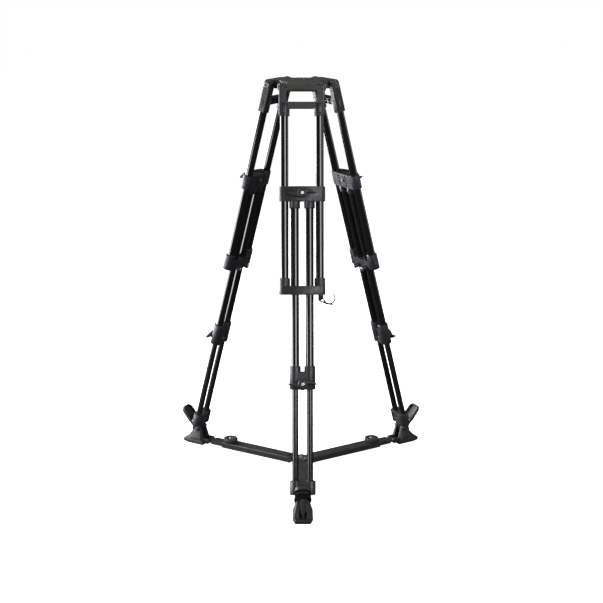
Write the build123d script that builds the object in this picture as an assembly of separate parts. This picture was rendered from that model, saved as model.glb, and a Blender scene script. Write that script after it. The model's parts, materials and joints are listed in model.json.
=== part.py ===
"""Two-stage video tripod standing on a telescopic ground spreader.  Millimetres, +Z up.

The origin is on the tripod's axis at ground level.  Leg 1 points along -Y, legs 2 and 3 lie at
150 and 30 degrees.  Leg pieces are drawn in a leg frame: origin on the crown pivot, X along the
pivot shaft, Y outward from the leg, Z up along the leg.  Spreader pieces are drawn in an arm
frame: X across the arm, Y outward from the tripod's axis, Z up from the ground.
"""
from build123d import *
import os

# ---- driving dimensions -------------------------------------------------------------------
SPLAY = 15.2            # lean of each leg from the vertical, degrees
PIVOT_R = 83.0          # crown pivot shafts, distance from the axis
PIVOT_Z = 1264.0        # and height above the ground
LEG_AZIMUTH = {1: -90.0, 2: 150.0, 3: 30.0}

TUBE_OD = 25.0          # outer and middle leg tubes
TUBE_ID = 22.0
OUTER_X = 53.5          # outer tubes, half spacing
MIDDLE_X = 22.3         # middle and lower tubes, half spacing
LOWER_OD = 19.0
LOWER_ID = 16.0
SLIDE_GAP = 0.08        # radial running clearance of tubes and shafts

LUG_HALF = 45.5         # crown lug, half width along the pivot shaft
LUG_R = 102.5           # crown lug, outer face
CROWN_CORE_R = 70.0
CROWN_TOP = PIVOT_Z + 14.0
CROWN_DEPTH = 26.0
HEAD_BOLT_R = 4.8       # four holes for the head's 3/8 inch bolts
HEAD_BOLT_CIRCLE = 80.0
CENTRE_HOLE_R = 10.0
SHAFT_R = 6.0

YOKE_INNER = 46.5       # yoke arm, inner and outer faces along the pivot shaft
YOKE_OUTER = 69.8
YOKE_HALF_DEPTH = 14.0
YOKE_TOP = 14.0
YOKE_END = 86.5         # distances along the leg, measured down from the pivot
CROSSBAR_TOP = 45.0
CROSSBAR_END = 64.0
TUBE_SEAT = 52.0

HOUSING_HALF = 70.5     # upper lock housing and lower bracket, half width
END_R = 16.8            # radius of their rounded ends
BOW = 24.5              # how far their outer faces bow out at the middle
BACK = 15.5             # flat inner face
UPPER_TOP = 299.5
UPPER_END = 344.0
SOCKET_END = 366.0
BRACKET_TOP = 575.5
BAND_TOP = 599.5
BRACKET_END = 627.0
EAR_R = 8.5
LOWER_TOP = 843.0
NOTCH_END = 860.0
LOWER_END = 914.0
LOWER_HALF = 39.4
UPPER_LEVER_L = 320.0
LOWER_LEVER_L = 896.0
LEVER_HALF = 45.0
LEVER_HUB_R = 14.5
WING_DEPTH = 14.0
BLOCK_TOP = 1193.0
BLOCK_END = 1234.5
BLOCK_HALF = 39.3

ARM_HALF = 21.0         # spreader arm, half width
ARM_LOW = 3.0
ARM_TOP = 23.0
HINGE_Z = 13.0          # arm hinges, height above the ground
HUB_HINGE_R = 38.0
SLEEVE_END = 306.0
KNOB_R_POS = 282.0
KNOB_R = 24.5
KNOB_TOP = 38.0
CUP_HINGE_R = 368.0
CUP_INNER = 377.0
CUP_OUTER = 464.0
CUP_HALF = 31.0
CUP_FLOOR = 14.0
CHEEK_IN = 11.0
CHEEK_OUT = 18.0
HANDLE_Y = 404.0        # clamp handle's pivot
HANDLE_Z = 54.0
HANDLE_RISE = 51.0      # degrees above the horizontal
PIN_R = 3.0

os.makedirs("parts", exist_ok=True)


# ---- placing and small helpers ------------------------------------------------------------
def leg_place(k):
    return (Rot(0, 0, LEG_AZIMUTH[k] - 90) * Pos(0, PIVOT_R, PIVOT_Z) * Rot(SPLAY, 0, 0))


def arm_place(k):
    return Rot(0, 0, LEG_AZIMUTH[k] - 90)


def span(half_x, y0, y1, z0, z1, x=0.0):
    """A box from its limits, 2 * half_x wide about x."""
    return Pos(x, (y0 + y1) / 2, (z0 + z1) / 2) * Box(2 * half_x, y1 - y0, z1 - z0)


def post(radius, z0, z1, x=0.0, y=0.0):
    """An upright cylinder from z0 up to z1."""
    return Pos(x, y, (z0 + z1) / 2) * Cylinder(radius, z1 - z0)


def across(radius, x0, x1, y=0.0, z=0.0):
    """A cylinder along X."""
    return Pos((x0 + x1) / 2, y, z) * Rot(0, 90, 0) * Cylinder(radius, x1 - x0)


def outward(radius, y0, y1, x=0.0, z=0.0):
    """A cylinder along Y."""
    return Pos(x, (y0 + y1) / 2, z) * Rot(90, 0, 0) * Cylinder(radius, y1 - y0)


def side_plate(points, x0, x1):
    """A plate across X whose outline is given in (y, z)."""
    wire = Polyline(*[(x0, y, z) for y, z in points], close=True)
    return extrude(make_face(wire), amount=x1 - x0, dir=(1, 0, 0))


def front_plate(points, y0, y1):
    """A plate along Y whose outline is given in (x, z)."""
    wire = Polyline(*[(x, y0, z) for x, z in points], close=True)
    return extrude(make_face(wire), amount=y1 - y0, dir=(0, 1, 0))


def mirrored(shape):
    return shape + mirror(shape, about=Plane.YZ)


def pair(tube_radius, bore_radius, half_spacing, top, end):
    """Two parallel tubes, as separate solids, from top down to end along the leg."""
    tubes = []
    for x in (-half_spacing, half_spacing):
        tubes.append(post(tube_radius, -end, -top, x) - post(bore_radius, -end - 1, -top + 1, x))
    return Compound(children=tubes)


def bowed_block(half, top, end):
    """A block with round ends, a flat inner face and an outer face that bows out."""
    centre_x = half - END_R
    bow = ThreePointArc((-centre_x, END_R), (0, BOW), (centre_x, END_R))
    right = ThreePointArc((centre_x, END_R), (half, 0), (centre_x, -END_R + 1.3))
    back = Line((centre_x, -END_R + 1.3), (-centre_x, -END_R + 1.3))
    left = ThreePointArc((-centre_x, -END_R + 1.3), (-half, 0), (-centre_x, END_R))
    face = make_face(Curve() + [bow, right, back, left])
    return Pos(0, 0, -end) * extrude(face, amount=end - top)


# ---- crown ---------------------------------------------------------------------------------
def crown_casting():
    """Flat-topped three-lug crown, with the head's bolt holes and the shafts' bores."""
    low = CROWN_TOP - CROWN_DEPTH
    body = post(CROWN_CORE_R, low, CROWN_TOP)
    for k in LEG_AZIMUTH:
        lug = span(LUG_HALF, 20, LUG_R, low, CROWN_TOP)
        lug = fillet(lug.edges().filter_by(Axis.X).group_by(Axis.Y)[-1].group_by(Axis.Z)[0], 10)
        body += arm_place(k) * lug
    body = chamfer(body.faces().sort_by(Axis.Z)[-1].edges(), 1.5)
    body -= post(52, low - 1, low + 14)
    for k in LEG_AZIMUTH:
        body -= arm_place(k) * across(SHAFT_R, -60, 60, PIVOT_R, PIVOT_Z)
    body += post(20, low, low + 16)
    body -= post(CENTRE_HOLE_R, low - 1, CROWN_TOP + 1)
    for i in range(4):
        spot = Rot(0, 0, 90 * i) * Pos(HEAD_BOLT_CIRCLE / 2, 0, 0)
        body -= spot * post(HEAD_BOLT_R, low - 1, CROWN_TOP + 1)
    return body


def pivot_hardware():
    """One shaft with two round caps, and two washers, for each leg."""
    pieces = []
    for k in LEG_AZIMUTH:
        shaft = across(SHAFT_R, -YOKE_OUTER - 0.2, YOKE_OUTER + 0.2, PIVOT_R, PIVOT_Z)
        for side in (-1, 1):
            edge = side * (YOKE_OUTER + 0.2)
            cap = across(9.5, min(edge, edge + side * 3), max(edge, edge + side * 3),
                         PIVOT_R, PIVOT_Z)
            cap = chamfer(cap.faces().sort_by(Axis.X)[-1 if side > 0 else 0].edges(), 1.0)
            socket = RegularPolygon(4, 6)
            turn = Pos(edge + side * 1.2, PIVOT_R, PIVOT_Z) * Rot(0, 90, 0)
            cap -= turn * extrude(socket, amount=2.5 * side)
            shaft += cap
        pieces.append(arm_place(k) * shaft)
        for side in (-1, 1):
            face = side * LUG_HALF
            washer = across(13, min(face, face + side * 0.7), max(face, face + side * 0.7),
                            PIVOT_R, PIVOT_Z)
            washer -= across(SHAFT_R, -90, 90, PIVOT_R, PIVOT_Z)
            pieces.append(arm_place(k) * washer)
    return Compound(children=pieces)


# ---- leg sections ---------------------------------------------------------------------------
def yoke():
    """H-shaped casting: two arms on the pivot shaft, a crossbar and two tube sockets."""
    arm = span((YOKE_OUTER - YOKE_INNER) / 2, -YOKE_HALF_DEPTH, YOKE_HALF_DEPTH,
               -YOKE_END, YOKE_TOP, (YOKE_OUTER + YOKE_INNER) / 2)
    arm = fillet(arm.edges().filter_by(Axis.X).group_by(Axis.Z)[-1], 9)
    arm = fillet(arm.edges().filter_by(Axis.Z).group_by(Axis.X)[-1], 6)
    arm += post(OUTER_X - 36.9, -YOKE_END, -CROSSBAR_TOP - 4, OUTER_X)
    arm -= post(TUBE_OD / 2, -YOKE_END - 1, -TUBE_SEAT, OUTER_X)
    arm -= across(SHAFT_R + SLIDE_GAP, 40, 80)
    arm -= across(9.7, YOKE_OUTER - 0.1, 80)
    body = mirrored(arm)
    body += span(YOKE_INNER + 1, -10, 12, -CROSSBAR_END, -CROSSBAR_TOP)
    for x in (-24, 0, 24):
        for level in (-59.5, -49.5):
            body -= span(9, -11, -4, level - 3.8, level + 3.8, x)
    for x in (-OUTER_X, OUTER_X):
        body -= post(TUBE_OD / 2, -YOKE_END - 1, -TUBE_SEAT, x)
        body -= outward(2.2, 8, 20, x, -YOKE_END + 8)
    return body


def lower_bracket():
    """Foot of the outer tubes: two sockets and a bowed band that guides the middle tubes."""
    body = bowed_block(HOUSING_HALF, BAND_TOP, BRACKET_END)
    socket = post(END_R, -BRACKET_END, -BRACKET_TOP, OUTER_X)
    socket = chamfer(socket.edges().group_by(Axis.Z)[-1], 2.5)
    body += mirrored(socket)
    ear = outward(EAR_R, -30, -8, MIDDLE_X, -BRACKET_END + 3)
    body += mirrored(ear)
    body -= mirrored(post(TUBE_OD / 2, -BRACKET_END + 6, -BRACKET_TOP + 1, OUTER_X))
    body -= mirrored(post(TUBE_OD / 2 + SLIDE_GAP, -BRACKET_END - 10, -BAND_TOP + 1, MIDDLE_X))
    body -= mirrored(outward(3, -40, -20, MIDDLE_X, -BRACKET_END + 3))
    return body


def bracket_bolts():
    """Two round-headed screws that close the lower bracket's ears."""
    screws = []
    for x in (-MIDDLE_X, MIDDLE_X):
        screw = outward(3, -30.0, -20, x, -BRACKET_END + 3)
        screw += outward(5, -33, -30, x, -BRACKET_END + 3)
        screws.append(fillet(screw.faces().sort_by(Axis.Y)[0].edges(), 1.5))
    return Compound(children=screws)


def upper_lock_housing():
    """Clamp on top of the middle tubes that slides on the outer tubes."""
    body = bowed_block(HOUSING_HALF, UPPER_TOP, UPPER_END)
    body = chamfer(body.edges().group_by(Axis.Z)[-1], 1.2)
    socket = post(16.4, -SOCKET_END, -UPPER_END + 1, MIDDLE_X)
    socket = chamfer(socket.edges().group_by(Axis.Z)[0], 2.0)
    body += mirrored(socket)
    dish = span(36, -11, 18, -UPPER_TOP - 5, -UPPER_TOP + 1)
    body -= fillet(dish.edges().filter_by(Axis.Z), 8)
    body -= mirrored(post(TUBE_OD / 2 + SLIDE_GAP, -UPPER_END - 1, -UPPER_TOP + 1, OUTER_X))
    body -= mirrored(post(TUBE_OD / 2, -SOCKET_END - 1, -UPPER_TOP - 12, MIDDLE_X))
    body -= outward(4, -30, 40, 0, -UPPER_LEVER_L)
    for x in (-19, 19):
        for step in range(4):
            body -= span(3, -BACK - 2, -BACK + 2.5, -UPPER_END + 5 + 9.6 * step,
                         -UPPER_END + 11.5 + 9.6 * step, x)
    body -= span(1.2, -4, 8, -UPPER_END - 1, -UPPER_END + 10, OUTER_X - 18)
    return body


def lower_lock_housing():
    """Clamp at the bottom of the middle tubes that the lower tubes slide through."""
    body = mirrored(post(LOWER_HALF - MIDDLE_X, -LOWER_END, -LOWER_TOP, MIDDLE_X))
    body = chamfer(body.edges().group_by(Axis.Z)[-1], 1.5)
    body += span(MIDDLE_X, -15, 16, -LOWER_END, -NOTCH_END)
    pad = outward(15, 10, 17.5, 0, -LOWER_LEVER_L)
    body += pad & span(40, 0, 30, -LOWER_END, -LOWER_TOP)
    body += outward(7, -4, 10, 0, -LOWER_END + 4)
    body -= mirrored(post(TUBE_OD / 2, -LOWER_END + 16, -LOWER_TOP + 1, MIDDLE_X))
    body -= mirrored(post(LOWER_OD / 2 + SLIDE_GAP, -LOWER_END - 1, -LOWER_TOP, MIDDLE_X))
    body -= outward(4, -30, 40, 0, -LOWER_LEVER_L)
    body -= span(9, -16, -12, -LOWER_END + 5, -NOTCH_END - 6)
    return body


def lock_lever(level, seat):
    """Clamp lever that turns on the lock bolt: a round hub with two swept wings."""
    wing = [(2, 3), (LEVER_HALF, 2.5), (LEVER_HALF + 1, 0.5), (38, -4), (28, -11),
            (14, -14.2), (2, -14.2)]
    wings = front_plate(wing, seat + 1.5, seat + WING_DEPTH)
    wings += Rot(0, 180, 0) * wings
    lever = outward(LEVER_HUB_R, seat, seat + 17) + wings
    lever -= outward(4 + SLIDE_GAP, seat - 5, seat + 60)
    lever -= outward(7.2, seat + 12, seat + 60)
    return Pos(0, 0, -level) * lever


def lock_bolt(level, seat, back):
    """Through bolt of one lock, with a round head in the lever and a nut behind."""
    bolt = outward(4, back, seat + 12.2, 0, -level)
    head = outward(5.8, seat + 12.2, seat + 15.5, 0, -level)
    bolt += fillet(head.faces().sort_by(Axis.Y)[-1].edges(), 1.4)
    return bolt + outward(5.5, back - 3, back, 0, -level)


UPPER_SEAT = BOW + 0.3
LOWER_SEAT = 17.8


def lock_bolts():
    return Compound(children=[lock_bolt(UPPER_LEVER_L, UPPER_SEAT, -BACK),
                              lock_bolt(LOWER_LEVER_L, LOWER_SEAT, -12.0)])


def foot_block():
    """Casting across the lower tubes' ends, ribbed on its inner face."""
    body = mirrored(post(BLOCK_HALF - MIDDLE_X, -BLOCK_END, -BLOCK_TOP, MIDDLE_X))
    body += span(MIDDLE_X, -16, 16, -BLOCK_END, -BLOCK_TOP)
    body = fillet(body.edges().group_by(Axis.Z)[0], 1.5)
    for step in range(3):
        level = -BLOCK_END + 7 + 11.5 * step
        body -= span(22, -18, -12, level, level + 5)
    body -= mirrored(post(LOWER_OD / 2, -BLOCK_END + 8, -BLOCK_TOP + 1, MIDDLE_X))
    return body


def spike_foot():
    """Foot under the block, standing in the spreader's cup, with a steel tip."""
    outline = [(-14, -BLOCK_END), (13, -BLOCK_END), (13, -BLOCK_END - 18),
               (4, -BLOCK_END - 61), (-12, -BLOCK_END - 57)]
    body = side_plate(outline, -9.5, 9.5)
    for step in range(3):
        level = -BLOCK_END - 12 - 9 * step
        body -= span(12, -20, -11.5, level - 4, level)
    return body


# ---- ground spreader --------------------------------------------------------------------------
def hub_body():
    """Round hub with a hinge tongue for each arm."""
    body = post(25, 0, 24)
    body = chamfer(body.edges().group_by(Axis.Z)[-1], 2)
    for k in LEG_AZIMUTH:
        tongue = span(9.5, 10, HUB_HINGE_R, HINGE_Z - 8, HINGE_Z + 8)
        tongue += across(8, -9.5, 9.5, HUB_HINGE_R, HINGE_Z)
        tongue -= across(PIN_R, -12, 12, HUB_HINGE_R, HINGE_Z)
        body += arm_place(k) * tongue
    for k in LEG_AZIMUTH:
        body -= arm_place(k) * across(PIN_R, -12, 12, HUB_HINGE_R, HINGE_Z)
        body -= Rot(0, 0, LEG_AZIMUTH[k] - 30) * post(3, 14, 25, 0, 15)
    return body


def hub_screws():
    """Three bright cap screws and the middle bolt on top of the hub."""
    screws = [post(5.5, 24, 28)]
    for k in LEG_AZIMUTH:
        screw = post(3, 14, 24, 0, 15) + post(4.6, 24, 27.5, 0, 15)
        screws.append(Rot(0, 0, LEG_AZIMUTH[k] - 30) * screw)
    return Compound(children=screws)


def hub_pins():
    """Hinge pins between the hub and the three arms."""
    pins = [arm_place(k) * across(PIN_R, -20.5, 20.5, HUB_HINGE_R, HINGE_Z)
            for k in LEG_AZIMUTH]
    return Compound(children=pins)


def sleeve():
    """Outer part of one spreader arm, forked at the hub and open at the far end."""
    body = span(ARM_HALF, HUB_HINGE_R, SLEEVE_END, ARM_LOW, ARM_TOP)
    body = fillet(body.edges().filter_by(Axis.Y), 2.5)
    body += across(10, -ARM_HALF, ARM_HALF, HUB_HINGE_R, HINGE_Z)
    body -= span(10.2, 0, HUB_HINGE_R + 10, 0, 30)
    body -= span(18.3, 70, SLEEVE_END + 1, 6.2, 19.8)
    body -= span(16, 92, 196, ARM_TOP - 0.6, ARM_TOP + 1)
    body += span(14, 104, 184, ARM_TOP - 1, ARM_TOP)
    body -= across(PIN_R + SLIDE_GAP, -40, 40, HUB_HINGE_R, HINGE_Z)
    body -= post(4.2, 15, 30, 0, KNOB_R_POS)
    return body


def bar():
    """Inner bar of one arm with its hinge pin, which slides in the sleeve."""
    body = span(18, 150, 352, 6.5, 19.5)
    body += span(9.8, 340, CUP_HINGE_R, 6.5, 19.5)
    body += across(6.5, -9.8, 9.8, CUP_HINGE_R, HINGE_Z)
    body -= across(PIN_R, -30, 30, CUP_HINGE_R, HINGE_Z)
    pin = across(PIN_R, -21.5, 21.5, CUP_HINGE_R, HINGE_Z)
    return Compound(children=[body, pin])


def knob():
    """Locking knob: a knurled disc on a short stud that bears on the bar."""
    disc = post(KNOB_R, ARM_TOP + 0.4, KNOB_TOP, 0, KNOB_R_POS)
    disc = fillet(disc.edges().group_by(Axis.Z)[-1], 2.5)
    for i in range(24):
        flute = Pos(0, KNOB_R_POS, 0) * Rot(0, 0, 15 * i) * post(1.2, 20, KNOB_TOP + 1, KNOB_R + 0.3)
        disc -= flute
    disc -= post(7, KNOB_TOP - 1.2, KNOB_TOP + 1, 0, KNOB_R_POS)
    disc += post(5, KNOB_TOP - 2, KNOB_TOP - 0.2, 0, KNOB_R_POS)
    return disc + post(4.0, 19.8, ARM_TOP + 1, 0, KNOB_R_POS)


def foot_cup():
    """Cup that holds a leg's foot: floor, two cheeks, hinge ears and a stop for the foot."""
    plan = Polyline((-CUP_HALF, CUP_INNER), (-CUP_HALF, CUP_OUTER - 26), (-24, CUP_OUTER),
                    (24, CUP_OUTER), (CUP_HALF, CUP_OUTER - 26), (CUP_HALF, CUP_INNER),
                    close=True)
    body = extrude(make_face(plan), amount=CUP_FLOOR)
    body = fillet(body.edges().filter_by(Axis.Z), 6)
    body = chamfer(body.edges().group_by(Axis.Z)[-1], 2)
    cheek = [(CUP_INNER + 2, CUP_FLOOR - 3), (393, 59), (HANDLE_Y - 6, 64), (HANDLE_Y + 6, 64),
             (CUP_OUTER - 14, CUP_FLOOR - 3)]
    flare = [(CHEEK_IN, 8), (CUP_HALF - 1, 8), (CUP_HALF - 2, 13), (CHEEK_OUT, 43),
             (CHEEK_OUT, 70), (CHEEK_IN, 70)]
    body += mirrored(side_plate(cheek, CHEEK_IN, CUP_HALF) & front_plate(flare, 370, 470))
    ear = span(5, CUP_HINGE_R, CUP_INNER + 10, 4, 22, 15.2)
    ear += across(9, 10.2, 20.2, CUP_HINGE_R, HINGE_Z)
    body += mirrored(ear)
    body -= across(PIN_R + SLIDE_GAP, -40, 40, CUP_HINGE_R, HINGE_Z)
    stop = [(436, CUP_FLOOR - 3), (446, CUP_FLOOR - 3), (440, 40), (434, 70), (426, 70),
            (432, 40)]
    body += side_plate(stop, -8.5, 8.5)
    body += span(CHEEK_IN + 2, 430, 440, CUP_FLOOR - 3, 30)
    body -= across(5 + SLIDE_GAP, -40, 40, HANDLE_Y, HANDLE_Z) - span(CHEEK_IN - 0.5, 0, 600, 0, 90)
    body -= span(9.9, CUP_HINGE_R - 10, CUP_HINGE_R + 8.6, 0, 30)
    return body


def clamp_handle():
    """U-shaped clamp handle: two side arms on stub pins and a broad paddle."""
    side = span(2.9, 0, 52, -10.5, -2.0, 22.0)
    side += across(7.2, 19.1, 24.9)
    side += across(5, CHEEK_IN + 1, 20)
    side += across(5.5, 24, 27)
    outline = [(-24.9, 38), (24.9, 38), (24.9, 80), (17, 95), (-17, 95), (-24.9, 80)]
    plate = extrude(make_face(Polyline(*outline, close=True)), amount=11)
    plate = fillet(plate.edges().filter_by(Axis.Z), 6)
    plate = fillet(plate.edges().group_by(Axis.Z)[-1], 3)
    handle = mirrored(side) + Pos(0, 0, -12) * plate
    return Pos(0, HANDLE_Y, HANDLE_Z) * Rot(HANDLE_RISE, 0, 0) * handle


def cable_clip():
    """Small block under the front bracket with a sprung open hook for a cable."""
    block = span(8.5, -6, 6, -BRACKET_END - 17, -BRACKET_END, -56.5)
    block = fillet(block.edges().filter_by(Axis.Y), 2)
    hook_z = -BRACKET_END - 10
    ring = outward(18.5, -3, 3, -82, hook_z) - outward(16.3, -4, 4, -82, hook_z)
    ring -= span(20, -5, 5, hook_z + 4, hook_z + 30, -82)
    tail = front_plate([(-84, hook_z - 18.4), (-101, hook_z - 20.5), (-101, hook_z - 22.5),
                        (-80, hook_z - 18.2)], -3, 3)
    return block + ring + tail


# ---- writing the parts ----------------------------------------------------------------------------
def write(name, shape):
    export_step(shape, f"parts/{name}.step")


def write_leg(k):
    place = leg_place(k)
    pieces = {
        "yoke": yoke(),
        "outer_tubes": pair(TUBE_OD / 2, TUBE_ID / 2, OUTER_X, TUBE_SEAT, BRACKET_END - 6),
        "lower_bracket": lower_bracket(),
        "bracket_bolts": bracket_bolts(),
        "upper_lock_housing": upper_lock_housing(),
        "upper_lever": lock_lever(UPPER_LEVER_L, UPPER_SEAT),
        "lock_bolts": lock_bolts(),
        "middle_tubes": pair(TUBE_OD / 2, TUBE_ID / 2, MIDDLE_X, UPPER_TOP + 12, LOWER_END - 16),
        "lower_lock_housing": lower_lock_housing(),
        "lower_lever": lock_lever(LOWER_LEVER_L, LOWER_SEAT),
        "lower_tubes": pair(LOWER_OD / 2, LOWER_ID / 2, MIDDLE_X, 640.0, BLOCK_END - 8),
        "foot_block": foot_block(),
        "spike_foot": spike_foot(),
    }
    for name, shape in pieces.items():
        write(f"{name}_{k}", place * shape)


def write_arm(k):
    place = arm_place(k)
    pieces = {"spreader_sleeve": sleeve(), "spreader_bar": bar(), "spreader_knob": knob(),
              "foot_cup": foot_cup(), "clamp_handle": clamp_handle()}
    for name, shape in pieces.items():
        write(f"{name}_{k}", place * shape)


def main():
    write("crown_casting", crown_casting())
    write("pivot_hardware", pivot_hardware())
    write("hub_body", hub_body())
    write("hub_screws", hub_screws())
    write("hub_pins", hub_pins())
    write("cable_clip", leg_place(1) * cable_clip())
    for k in LEG_AZIMUTH:
        write_leg(k)
        write_arm(k)


main()
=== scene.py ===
"""Looks for the two-stage tripod on its ground spreader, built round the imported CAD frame."""
import json
import math
import bmesh
import bpy
from mathutils import Matrix, Vector

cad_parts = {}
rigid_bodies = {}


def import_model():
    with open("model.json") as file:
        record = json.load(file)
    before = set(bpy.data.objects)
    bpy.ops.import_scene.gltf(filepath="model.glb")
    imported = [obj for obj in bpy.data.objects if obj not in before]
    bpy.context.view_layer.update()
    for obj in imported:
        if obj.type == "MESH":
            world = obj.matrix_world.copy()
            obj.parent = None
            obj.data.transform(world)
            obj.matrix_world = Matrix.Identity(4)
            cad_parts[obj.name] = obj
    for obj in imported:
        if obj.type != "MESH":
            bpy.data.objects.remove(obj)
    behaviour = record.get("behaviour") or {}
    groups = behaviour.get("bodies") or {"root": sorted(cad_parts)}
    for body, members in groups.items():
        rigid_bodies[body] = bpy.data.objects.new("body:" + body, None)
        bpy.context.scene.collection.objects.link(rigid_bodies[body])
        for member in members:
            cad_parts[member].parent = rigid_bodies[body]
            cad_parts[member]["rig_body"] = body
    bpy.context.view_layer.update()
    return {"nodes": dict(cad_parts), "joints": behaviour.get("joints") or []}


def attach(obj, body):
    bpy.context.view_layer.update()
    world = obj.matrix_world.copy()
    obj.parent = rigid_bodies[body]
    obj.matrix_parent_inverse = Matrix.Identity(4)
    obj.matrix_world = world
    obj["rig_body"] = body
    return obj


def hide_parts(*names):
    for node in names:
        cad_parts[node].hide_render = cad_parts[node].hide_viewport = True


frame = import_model()
NODES = frame["nodes"]
JOINTS = {joint["name"]: joint for joint in frame["joints"]}
MM = 0.001
LEGS = (1, 2, 3)


# ---- camera --------------------------------------------------------------------------------
CAMERA_LENS_MM = 74.98
SENSOR_MM = 36
CAMERA_SHIFT_Y = 0.0245
CAMERA_PLACE = (-0.0383, -3.9158, 1.6804)
CAMERA_TILT = math.radians(90 - 16.535)
CAMERA_TURN = math.radians(-0.561)


def make_camera():
    data = bpy.data.cameras.new("camera")
    data.lens = CAMERA_LENS_MM
    data.sensor_width = SENSOR_MM
    data.shift_y = CAMERA_SHIFT_Y
    camera = bpy.data.objects.new("camera", data)
    camera.location = CAMERA_PLACE
    camera.rotation_euler = (CAMERA_TILT, 0, CAMERA_TURN)
    bpy.context.scene.collection.objects.link(camera)
    bpy.context.scene.camera = camera


make_camera()


# ---- places ----------------------------------------------------------------------------------
def axes(x, z, origin):
    """A frame from its X and Z directions."""
    y = z.cross(x)
    turn = Matrix((x, y, z)).transposed().to_4x4()
    return Matrix.Translation(origin) @ turn @ Matrix.Scale(MM, 4)


def leg_frame(k):
    """Millimetres from leg k's pivot: X along its shaft, Y outward, Z up the leg."""
    swing = JOINTS[f"leg_{k}_swing"]
    slide = JOINTS[f"leg_{k}_extension"]
    return axes(-Vector(swing["axis"]), -Vector(slide["axis"]), Vector(swing["pos_m"]))


def arm_frame(k):
    """Millimetres from the tripod's axis on the ground: X across arm k, Y outward, Z up."""
    return axes(Vector(JOINTS[f"arm_{k}_lift"]["axis"]), Vector((0, 0, 1)), Vector((0, 0, 0)))


# ---- materials -------------------------------------------------------------------------------
class Surface:
    """Builds one procedural material around a Principled shader."""

    def __init__(self, name, roughness, metallic=0.0, coat=0.0, specular=0.5):
        self.material = bpy.data.materials.new(name)
        self.material.use_nodes = True
        self.tree = self.material.node_tree
        self.shader = self.tree.nodes["Principled BSDF"]
        self.shader.inputs["Metallic"].default_value = metallic
        self.shader.inputs["Coat Weight"].default_value = coat
        self.shader.inputs["Coat Roughness"].default_value = 0.15
        self.shader.inputs["Specular IOR Level"].default_value = specular
        self.shader.inputs["Roughness"].default_value = roughness
        self.place = self.node("ShaderNodeTexCoord").outputs["Object"]

    def node(self, kind, **settings):
        made = self.tree.nodes.new(kind)
        for key, value in settings.items():
            setattr(made, key, value)
        return made

    def link(self, source, target):
        self.tree.links.new(source, target)

    def noise(self, size_mm, detail=3.0, place=None):
        """A noise whose features are about size_mm across."""
        made = self.node("ShaderNodeTexNoise")
        made.inputs["Scale"].default_value = 1 / (size_mm * MM)
        made.inputs["Detail"].default_value = detail
        self.link(place or self.place, made.inputs["Vector"])
        return made.outputs["Fac"]

    def spread(self, value, low, high, start=0.3, end=0.7):
        made = self.node("ShaderNodeMapRange")
        made.inputs["From Min"].default_value = start
        made.inputs["From Max"].default_value = end
        made.inputs["To Min"].default_value = low
        made.inputs["To Max"].default_value = high
        self.link(value, made.inputs["Value"])
        return made.outputs["Result"]

    def mix(self, factor, first, second):
        """Colour mix; first and second are either colours or sockets."""
        made = self.node("ShaderNodeMix", data_type="RGBA")
        self.link(factor, made.inputs[0])
        for socket, value in ((made.inputs[6], first), (made.inputs[7], second)):
            if isinstance(value, tuple):
                socket.default_value = (*value, 1)
            else:
                self.link(value, socket)
        return made.outputs[2]

    def times(self, first, second):
        made = self.node("ShaderNodeMath", operation="MULTIPLY")
        self.link(first, made.inputs[0])
        self.link(second, made.inputs[1])
        return made.outputs[0]

    def edges(self, radius_mm):
        """1 on sharp edges, falling to 0 on flat faces."""
        bevel = self.node("ShaderNodeBevel", samples=4)
        bevel.inputs["Radius"].default_value = radius_mm * MM
        dot = self.node("ShaderNodeVectorMath", operation="DOT_PRODUCT")
        self.link(bevel.outputs["Normal"], dot.inputs[0])
        self.link(self.node("ShaderNodeNewGeometry").outputs["Normal"], dot.inputs[1])
        return self.spread(dot.outputs["Value"], 1.0, 0.0, 0.80, 0.985)

    def colour(self, socket):
        self.link(socket, self.shader.inputs["Base Color"])

    def roughness(self, socket):
        self.link(socket, self.shader.inputs["Roughness"])

    def bump(self, height, depth_mm, normal=None):
        made = self.node("ShaderNodeBump")
        made.inputs["Distance"].default_value = depth_mm * MM
        self.link(height, made.inputs["Height"])
        if normal:
            self.link(normal, made.inputs["Normal"])
        self.link(made.outputs["Normal"], self.shader.inputs["Normal"])
        return made.outputs["Normal"]

    def along(self, k, ratio):
        """The place in leg k's own axes, squeezed so that noise runs along the tubes."""
        turn = leg_frame(k).to_3x3().normalized().inverted().to_euler()
        made = self.node("ShaderNodeMapping")
        made.inputs["Rotation"].default_value = turn
        self.link(self.place, made.inputs["Vector"])
        squeeze = self.node("ShaderNodeMapping")
        squeeze.inputs["Scale"].default_value = (1, 1, ratio)
        self.link(made.outputs["Vector"], squeeze.inputs["Vector"])
        return squeeze.outputs["Vector"]


def moulded(name, dark, light, edge_wear_and_highlight, roughness, grain_mm, grain_depth, wear=0.5, specular=0.5):
    """Painted casting or moulded plastic: mottled colour, fine grain and rubbed edges."""
    s = Surface(name, roughness, specular=specular)
    mottled = s.mix(s.spread(s.noise(22, 4), 0.0, 1.0), dark, light)
    rubbed = s.times(s.edges(0.9), s.spread(s.noise(6, 4), 0.0, wear, 0.42, 0.66))
    s.colour(s.mix(rubbed, mottled, edge_wear_and_highlight))
    s.roughness(s.spread(s.noise(9, 3), roughness - 0.08, roughness + 0.09))
    s.bump(s.noise(grain_mm, 2), grain_depth)
    return s.material


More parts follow.
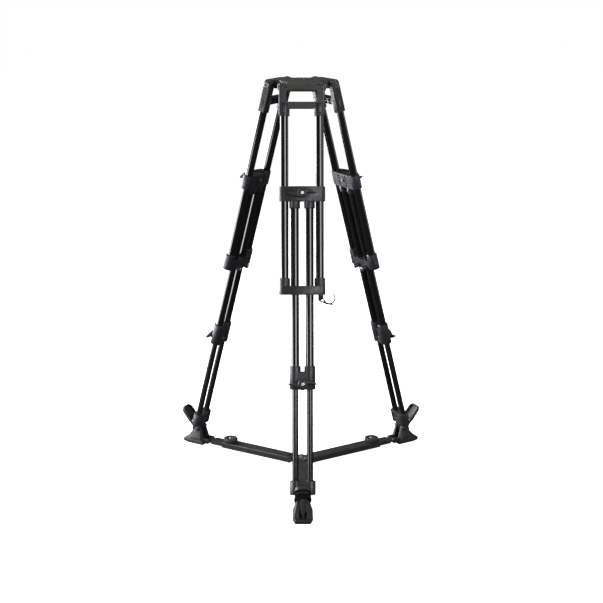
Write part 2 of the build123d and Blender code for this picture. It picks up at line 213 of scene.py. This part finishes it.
def anodised(name, k, dark, light, roughness, coat, metallic):
    """Drawn and anodised tube: faint lines along the tube and a few longer slide marks."""
    s = Surface(name, roughness, metallic=metallic, coat=coat)
    drawn = s.along(k, 0.03)
    lines = s.noise(1.2, 2, drawn)
    marks = s.spread(s.noise(3.5, 3, s.along(k, 0.012)), 0.0, 1.0, 0.60, 0.74)
    base = s.mix(s.spread(s.noise(140, 2), 0.0, 1.0), dark, light)
    s.colour(s.mix(marks, base, tuple(1.3 * c + 0.002 for c in light)))
    s.roughness(s.spread(lines, roughness - 0.015, roughness + 0.03))
    s.bump(lines, 0.0012)
    return s.material


def plated(name, dark, light, roughness, edge_wear_and_highlight):
    """Plated or blackened steel with turned marks, dulling, and lighter edges that are partly edge
    wear and partly a painted highlight.
    """
    s = Surface(name, roughness, metallic=1.0)
    body = s.mix(s.spread(s.noise(4, 4), 0.0, 1.0), dark, light)
    # lighter colour on every sharp edge: edge wear, and also a painted highlight along the rims
    s.colour(s.mix(s.edges(0.5), body, edge_wear_and_highlight))
    s.roughness(s.spread(s.noise(1.5, 3), roughness - 0.08, roughness + 0.12))
    s.bump(s.noise(0.7, 2), 0.03)
    return s.material


CASTING = moulded("casting", (0.0150, 0.0155, 0.0205), (0.0225, 0.0235, 0.0305),
                  (0.060, 0.060, 0.062), 0.42, 0.8, 0.035)
CROWN = moulded("crown", (0.024, 0.0235, 0.020), (0.038, 0.036, 0.030),
                (0.075, 0.072, 0.066), 0.50, 0.7, 0.05)
LEVER = moulded("lever", (0.013, 0.013, 0.014), (0.020, 0.020, 0.022),
                (0.045, 0.045, 0.046), 0.52, 0.5, 0.04)
SPREADER = moulded("spreader", (0.014, 0.015, 0.0175), (0.021, 0.0222, 0.026),
                   (0.060, 0.060, 0.062), 0.46, 0.9, 0.04)
CUP = moulded("cup", (0.008, 0.008, 0.009), (0.014, 0.014, 0.015),
              (0.042, 0.042, 0.044), 0.55, 0.7, 0.05)
RUBBER = moulded("foot_rubber", (0.009, 0.009, 0.009), (0.016, 0.016, 0.016),
                 (0.040, 0.040, 0.040), 0.78, 0.6, 0.07, specular=0.3)
BRIGHT = plated("bright_steel", (0.55, 0.53, 0.47), (0.78, 0.76, 0.70), 0.30,
                (0.82, 0.80, 0.75))
# the dark steel's pale edge colour paints the highlight on the cap rims as well as their wear
DARK_STEEL = plated("dark_steel", (0.12, 0.12, 0.122), (0.22, 0.22, 0.225), 0.36,
                    (0.50, 0.49, 0.46))
TUBE = {k: anodised(f"tube_{k}", k, (0.005, 0.005, 0.006), (0.009, 0.009, 0.010), 0.12, 0.5, 0.0)
        for k in LEGS}
LOWER_TUBE = {k: anodised(f"lower_tube_{k}", k, (0.008, 0.008, 0.0095), (0.013, 0.013, 0.015),
                          0.20, 0.3, 0.0) for k in LEGS}

FINISH = {
    "crown_casting": CROWN, "pivot_hardware": DARK_STEEL, "hub_body": SPREADER,
    "hub_screws": BRIGHT, "hub_pins": DARK_STEEL, "cable_clip": RUBBER,
    "yoke": CASTING, "outer_tubes": TUBE, "lower_bracket": CASTING, "bracket_bolts": BRIGHT,
    "upper_lock_housing": CASTING, "upper_lever": LEVER, "lock_bolts": BRIGHT,
    "middle_tubes": TUBE, "lower_lock_housing": CASTING, "lower_lever": LEVER,
    "lower_tubes": LOWER_TUBE, "foot_block": CASTING, "spike_foot": RUBBER,
    "spreader_sleeve": SPREADER, "spreader_bar": SPREADER, "spreader_knob": LEVER,
    "foot_cup": CUP, "clamp_handle": CUP,
}


def finish_of(node):
    """The material of a CAD node, by its name without the leg's number."""
    stem, _, tail = node.rpartition("_")
    if not tail.isdigit():
        return FINISH[node]
    found = FINISH[stem]
    return found[int(tail)] if isinstance(found, dict) else found


# ---- mesh building -----------------------------------------------------------------------------
def loft(bm, rings):
    """Skins a list of rings of points, all the same length, and closes both ends."""
    made = [[bm.verts.new(point) for point in ring] for ring in rings]
    count = len(made[0])
    for first, second in zip(made, made[1:]):
        for i in range(count):
            j = (i + 1) % count
            bm.faces.new((first[i], first[j], second[j], second[i]))
    bm.faces.new(list(reversed(made[0])))
    bm.faces.new(made[-1])


def circle(radius, count=48):
    """Points (a, b) round a circle."""
    return [(radius * math.cos(2 * math.pi * i / count), radius * math.sin(2 * math.pi * i / count))
            for i in range(count)]


def turned(bm, profile, place, count=48, along="z"):
    """A turned solid from (radius, height) pairs, about Z or Y through place."""
    rings = []
    for radius, height in profile:
        ring = []
        for a, b in circle(max(radius, 0.01), count):
            point = (a, b, height) if along == "z" else (b, height, a)
            ring.append(Vector(point) + Vector(place))
        rings.append(ring)
    loft(bm, rings)


def slab(bm, outline, low, high, plane="xz"):
    """A plate from an outline; the third axis runs from low to high."""
    def point(a, b, c):
        return {"xz": (a, c, b), "xy": (a, b, c), "yz": (c, a, b)}[plane]
    loft(bm, [[point(a, b, c) for a, b in outline] for c in (low, high)])


def arch(half, base, top, corner, count=9):
    """An outline, wide at base and round at top, as (a, b) points."""
    points = [(-half, base), (half, base)]
    for i in range(count):
        turn = math.pi / 2 * i / (count - 1)
        points.append((half - corner + corner * math.cos(turn),
                       top - corner + corner * math.sin(turn)))
    for i in range(count):
        turn = math.pi / 2 * (1 + i / (count - 1))
        points.append((-half + corner + corner * math.cos(turn),
                       top - corner + corner * math.sin(turn)))
    return points


def make_piece(name, bm, place, node):
    """Turns a bmesh in millimetres into a piece that stands for one CAD node."""
    bmesh.ops.recalc_face_normals(bm, faces=bm.faces)
    bm.transform(place)
    mesh = bpy.data.meshes.new(name)
    bm.to_mesh(mesh)
    bm.free()
    mesh.materials.append(finish_of(node))
    obj = bpy.data.objects.new(name, mesh)
    bpy.context.scene.collection.objects.link(obj)
    for face in mesh.polygons:
        face.use_smooth = True
    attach(obj, NODES[node]["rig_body"])
    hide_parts(node)
    return obj


def rounded(obj, width_mm, segments=2, angle=30):
    """Bevels the sharp edges with a modifier."""
    bevel = obj.modifiers.new("bevel", "BEVEL")
    bevel.width = width_mm * MM
    bevel.segments = segments
    bevel.limit_method = "ANGLE"
    bevel.angle_limit = math.radians(angle)
    bevel.harden_normals = True
    return obj


def melted(obj, voxel_mm, passes):
    """Joins overlapping solids into one soft moulded skin."""
    remesh = obj.modifiers.new("remesh", "REMESH")
    remesh.mode = "VOXEL"
    remesh.voxel_size = voxel_mm * MM
    remesh.use_smooth_shade = True
    smooth = obj.modifiers.new("smooth", "SMOOTH")
    smooth.factor = 0.5
    smooth.iterations = passes
    return obj


# ---- clamp levers ----------------------------------------------------------------------------
UPPER_LEVER = (320.0, 24.8)     # distance down the leg, and the lever's seat out from its plane
LOWER_LEVER = (896.0, 17.8)


def wing_ring(x, top, bottom, inner, outer, count=20):
    """Section of a lever wing: blunt beside the housing, drooping to a thin outer edge."""
    ring = []
    for i in range(count):
        turn = 2 * math.pi * i / count
        side, lift = math.cos(turn), math.sin(turn)
        side = math.copysign(abs(side) ** 0.75, side)
        lift = math.copysign(abs(lift) ** 0.75, lift)
        out = (side + 1) / 2
        thin = 1 - 0.25 * out
        z = (top + bottom) / 2 + lift * (top - bottom) / 2 * thin
        ring.append((x, inner + (outer - inner) * out, z))
    return ring


def make_lever(node, k, level, seat):
    """Round hub on its bolt with two opposite drooping wings."""
    sections = [(2, 4, -14, 2, 15.5), (12, 3.2, -14, 2, 15), (20, 2.8, -12.8, 2, 14.5),
                (28, 2.6, -10.2, 2, 14), (36, 2.5, -5.2, 2, 13.6), (42, 2.4, -2.2, 2.4, 13),
                (45.6, 1.9, -0.2, 4, 11.5)]
    bm = bmesh.new()
    for side in (1, -1):
        rings = []
        for x, top, bottom, inner, outer in sections:
            ring = wing_ring(x, top, bottom, seat + inner, seat + outer)
            rings.append([(side * a, b, side * c) for a, b, c in ring])
        loft(bm, rings)
    turned(bm, [(14.1, seat + 0.3), (14.5, seat + 2), (14.4, seat + 13), (12.6, seat + 16.2),
                (9.0, seat + 17), (7.4, seat + 16.6), (7.0, seat + 13), (0, seat + 12.8)],
           (0, 0, 0), along="y")
    place = leg_frame(k) @ Matrix.Translation((0, 0, -level))
    return melted(make_piece(f"{node}_moulding", bm, place, node), 0.8, 5)


# ---- clamp handle ----------------------------------------------------------------------------
HANDLE_RISE = math.radians(51)      # above the horizontal, at rest


def make_clamp_handle(k):
    """Round-ended paddle with a recessed inner face, on two side arms."""
    node = f"clamp_handle_{k}"
    bm = bmesh.new()
    rim = arch(24.6, 37, 94.5, 19)
    inner = arch(20.2, 41, 90.0, 15)
    slab(bm, rim, -12.0, -9.4, "xy")
    loft(bm, [[(a, b, z) for a, b in outline] for outline, z in
              ((rim, -11.0), (rim, -1.2), (inner, -1.2), (inner, -8.6))])
    slab(bm, arch(20.0, 40, 76, 13), -14.6, -11.0, "xy")
    for side in (1, -1):
        loft(bm, [[(side * 19.6, y, low), (side * 24.8, y, low), (side * 24.8, y, high),
                   (side * 19.6, y, high)]
                  for y, low, high in ((1, -5.5, 4.5), (16, -9.5, -1.5), (44, -11.0, -1.6))])
        boss = [(5.2, 12.2), (5.2, 19), (8.2, 19.3), (8.4, 24.6), (6.6, 25.6), (5.2, 26.6),
                (0.01, 26.6)]
        loft(bm, [[(side * x, b, a) for a, b in circle(radius, 32)] for radius, x in boss])
    hinge = JOINTS[f"clamp_handle_{k}_release"]
    place = arm_frame(k)
    centre = place.inverted() @ Vector(hinge["pos_m"])
    obj = make_piece(f"{node}_moulding", bm,
                     place @ Matrix.Translation(centre) @ Matrix.Rotation(HANDLE_RISE, 4, "X"),
                     node)
    return melted(obj, 0.8, 4)


# ---- foot cup --------------------------------------------------------------------------------
CUP_HINGE_Y, CUP_HINGE_Z = 368, 13
CUP_PLAN = [(-31, 378), (-31, 438), (-24, 463.5), (24, 463.5), (31, 438), (31, 378)]
CHEEK_HIGH = [(383, 9), (395, 58), (400, 64), (409, 64), (416, 56), (456, 9)]
CHEEK_LOW = [(383, 9), (391, 19), (400, 22), (411, 22), (424, 19), (457, 9)]


def make_foot_cup(k):
    """Low pointed base with two leaning cheeks, an open slot between them, and hinge ears."""
    node = f"foot_cup_{k}"
    bm = bmesh.new()
    inset = [(x * 0.95, 421 + (y - 421) * 0.965) for x, y in CUP_PLAN]
    loft(bm, [[(x, y, z) for x, y in plan] for plan, z in
              ((inset, 0.2), (CUP_PLAN, 1.6), (CUP_PLAN, 11.4), (inset, 13.4))])
    for side in (1, -1):
        loft(bm, [[(side * x, y, z) for y, z in outline] for outline, x in
                  ((CHEEK_HIGH, 11.2), (CHEEK_HIGH, 17.4), (CHEEK_LOW, 29.2))])
        near, far = sorted((side * 10.4, side * 20))
        slab(bm, [(CUP_HINGE_Y, 4.5), (388, 4.5), (388, 21.5), (CUP_HINGE_Y, 21.5)], near, far, "yz")
        loft(bm, [[(side * x, CUP_HINGE_Y + b, CUP_HINGE_Z + a) for a, b in circle(8.9, 32)]
                  for x in (10.4, 20)])
    stop = []
    for y, z, radius in ((441, 12, 5.0), (438, 26, 6.6), (433, 48, 7.4), (430, 66, 7.0),
                         (429.6, 69.5, 4.6)):
        stop.append([(radius * a, y + 0.72 * radius * b, z) for a, b in circle(1.0, 24)])
    loft(bm, stop)
    obj = make_piece(f"{node}_casting", bm, arm_frame(k), node)
    return melted(obj, 0.9, 3)


# ---- spreader knob ---------------------------------------------------------------------------
KNOB_REACH = 282.0                  # knob's centre, out from the tripod's axis


def make_knob(k):
    """Knurled disc with a dished top and a pale plug in the middle."""
    node = f"spreader_knob_{k}"
    bm = bmesh.new()
    flutes, count = 24, 24 * 6

    def edge(radius, depth):
        return [radius - depth * (0.5 + 0.5 * math.cos(2 * math.pi * flutes * i / count)) ** 3
                for i in range(count)]
    rings = []
    for radius, z, depth in ((23.0, 23.5, 0.0), (24.3, 24.4, 1.1), (24.5, 27, 1.5), (24.5, 34, 1.5),
                             (23.9, 36.4, 1.1), (22.6, 37.6, 0.5), (21, 37.95, 0), (15, 37.3, 0),
                             (8.5, 36.9, 0), (7.4, 36.9, 0), (7.0, 36.0, 0), (0.01, 36.0, 0)):
        ring = []
        for i, r in enumerate(edge(radius, depth)):
            turn = 2 * math.pi * i / count
            ring.append((r * math.cos(turn), KNOB_REACH + r * math.sin(turn), z))
        rings.append(ring)
    loft(bm, rings)
    obj = make_piece(f"{node}_disc", bm, arm_frame(k), node)
    plug = bmesh.new()
    turned(plug, [(5.6, 35.8), (5.6, 37.2), (4.9, 37.8), (0, 37.95)], (0, KNOB_REACH, 0), 32)
    dot = make_piece(f"{node}_plug", plug, arm_frame(k), node)
    dot.data.materials.clear()
    dot.data.materials.append(BRIGHT)
    return obj


# ---- cable clip ------------------------------------------------------------------------------
def make_cable_clip():
    """Moulded block with a thin sprung hook, tapered to its free end, and a barb below."""
    place = leg_frame(1)
    bm = bmesh.new()
    slab(bm, [(-64.8, -627.2), (-48.2, -627.2), (-48.2, -644), (-51, -645), (-64.8, -640)],
         -5.8, 5.8)
    block = make_piece("cable_clip_block", bm, place, "cable_clip")
    rounded(block, 1.4, 3)
    hook = bmesh.new()
    centre, radius, steps = (-82.0, -637.0), 17.2, 40
    rings = []
    for i in range(steps + 1):
        along = i / steps
        turn = math.radians(-12 - 222 * along)
        thick = 2.5 - 0.8 * along
        ring = []
        for a, b in circle(1.0, 12):
            reach = radius + thick * a
            ring.append((centre[0] + reach * math.cos(turn), 3.2 * b * (1 - 0.25 * along),
                         centre[1] + reach * math.sin(turn)))
        rings.append(ring)
    loft(hook, rings)
    route = [(-50, -643.5), (-62, -648.5), (-74, -654), (-86, -655.8), (-99.5, -658)]
    size = [2.6, 2.3, 2.2, 1.9, 0.7]
    strap = []
    for (x, z), half in zip(route, size):
        strap.append([(x + 0.2 * half * a, 3.0 * b, z + half * a) for a, b in circle(1.0, 12)])
    loft(hook, strap)
    piece = make_piece("cable_clip_hook", hook, place, "cable_clip")
    return melted(piece, 0.5, 2)


# ---- tubes -----------------------------------------------------------------------------------
TUBE_WALL = {"outer_tubes": 1.5, "middle_tubes": 1.5, "lower_tubes": 1.5}


def hollow(bm, x, y, radius, bore, low, high, count=72):
    """A tube along Z with eased ends and a loop near each end to keep the long faces straight."""
    profile = [(bore, low + 2), (bore, low + 0.3), (bore + 0.3, low), (radius - 0.4, low),
               (radius, low + 0.4), (radius, low + 2), (radius, high - 2), (radius, high - 0.4),
               (radius - 0.4, high), (bore + 0.3, high), (bore, high - 0.3), (bore, high - 2)]
    rings = [[bm.verts.new((x + a, y + b, z)) for a, b in circle(r, count)] for r, z in profile]
    for first, second in zip(rings, rings[1:] + rings[:1]):
        for i in range(count):
            j = (i + 1) % count
            bm.faces.new((first[i], first[j], second[j], second[i]))


def make_tubes(stem, k):
    """Both tubes of one stage, with their places and sizes taken from the CAD node."""
    node = f"{stem}_{k}"
    place = leg_frame(k)
    inverse = place.inverted()
    points = [inverse @ vertex.co for vertex in NODES[node].data.vertices]
    bm = bmesh.new()
    for side in (1, -1):
        own = [point for point in points if point.x * side > 0]
        low, high = [Vector([pick(point[i] for point in own) for i in range(3)])
                     for pick in (min, max)]
        middle = (low + high) / 2
        radius = (high.x - low.x) / 2
        hollow(bm, middle.x, middle.y, radius, radius - TUBE_WALL[stem], low.z, high.z)
    make_piece(f"{node}_drawn", bm, place, node)


def make_refined_pieces():
    for k in LEGS:
        for stem in TUBE_WALL:
            make_tubes(stem, k)
        make_lever(f"upper_lever_{k}", k, *UPPER_LEVER)
        make_lever(f"lower_lever_{k}", k, *LOWER_LEVER)
        make_clamp_handle(k)
        make_foot_cup(k)
        make_knob(k)
    make_cable_clip()


# ---- CAD nodes that stay ---------------------------------------------------------------------
def soften(obj, width_mm):
    """Rounds a CAD node's edges with modifiers; its mesh isn't touched."""
    weld = obj.modifiers.new("weld", "WELD")
    weld.merge_threshold = 0.00001
    flat = obj.modifiers.new("flat", "DECIMATE")
    flat.decimate_type = "DISSOLVE"
    flat.angle_limit = math.radians(1.0)
    rounded(obj, width_mm, angle=32)


ROUNDED = {"yoke": 0.9, "upper_lock_housing": 0.8, "lower_bracket": 0.8, "spreader_sleeve": 0.5,
           "lower_lock_housing": 0.8, "foot_block": 0.8, "crown_casting": 0.8,
           "spreader_bar": 0.5, "hub_body": 0.6}


def dress_cad_nodes():
    for name, obj in NODES.items():
        if obj.hide_render:
            continue
        obj.data.materials.clear()
        obj.data.materials.append(finish_of(name))
        stem = name.rpartition("_")[0] if name[-1].isdigit() else name
        if stem in ROUNDED:
            soften(obj, ROUNDED[stem])


# ---- floor and light -------------------------------------------------------------------------
FLOOR_HALF = 14.0
FLOOR_GLOW = 0.985                  # keeps the pale floor near white
AMBIENT = 0.04                      # world light on the object; the camera sees it at 1
MIDDLE = (0, 0, 0.7)
LAMPS = (                           # name, place, target, width, height, watts
    ("left_back", (-2.7, 2.0, 1.2), (0, 0, 0.8), 3.8, 3.0, 340),
    ("left_low", (-1.9, -0.4, 0.40), (0, 0, 0.9), 1.8, 0.8, 40),
    ("front_fill", (1.8, -3.6, 2.0), MIDDLE, 2.6, 2.6, 125),
    ("right_back", (3.0, 0.8, 1.3), MIDDLE, 0.7, 2.6, 16),
    ("overhead", (0, 0.4, 3.6), MIDDLE, 2.2, 2.2, 34),
)


def make_floor():
    """Plain pale floor that glows a little and adds no reflections or bounce to the object."""
    mesh = bpy.data.meshes.new("floor")
    size = FLOOR_HALF
    corners = [(-size, -size, 0), (size, -size, 0), (size, size, 0), (-size, size, 0)]
    mesh.from_pydata(corners, [], [(0, 1, 2, 3)])
    s = Surface("floor", 0.9, specular=0.1)
    s.colour(s.mix(s.spread(s.noise(300, 2), 0.0, 1.0), (0.88, 0.88, 0.88), (0.91, 0.91, 0.91)))
    s.shader.inputs["Emission Color"].default_value = (1, 1, 1, 1)
    s.shader.inputs["Emission Strength"].default_value = FLOOR_GLOW
    mesh.materials.append(s.material)
    floor = bpy.data.objects.new("floor", mesh)
    floor.visible_glossy = False
    floor.visible_diffuse = False
    bpy.context.scene.collection.objects.link(floor)


def make_lamp(name, place, target, width, height, watts):
    data = bpy.data.lights.new(name, "AREA")
    data.shape = "RECTANGLE"
    data.size = width
    data.size_y = height
    data.energy = watts
    lamp = bpy.data.objects.new(name, data)
    lamp.location = place
    aim = Vector(target) - Vector(place)
    lamp.rotation_euler = aim.to_track_quat("-Z", "Y").to_euler()
    lamp.visible_camera = False
    bpy.context.scene.collection.objects.link(lamp)


def make_light():
    """A white studio that lights the dark object mainly from a few soft panels."""
    bpy.context.scene.view_settings.view_transform = "Standard"
    world = bpy.data.worlds.new("studio")
    world.use_nodes = True
    nodes, links = world.node_tree.nodes, world.node_tree.links
    seen = nodes.new("ShaderNodeLightPath")
    strength = nodes.new("ShaderNodeMapRange")
    strength.inputs["To Min"].default_value = AMBIENT
    strength.inputs["To Max"].default_value = 1.0
    links.new(seen.outputs["Is Camera Ray"], strength.inputs["Value"])
    links.new(strength.outputs["Result"], nodes["Background"].inputs["Strength"])
    nodes["Background"].inputs["Color"].default_value = (1, 1, 1, 1)
    bpy.context.scene.world = world
    for lamp in LAMPS:
        make_lamp(*lamp)


make_refined_pieces()
dress_cad_nodes()
make_floor()
make_light()
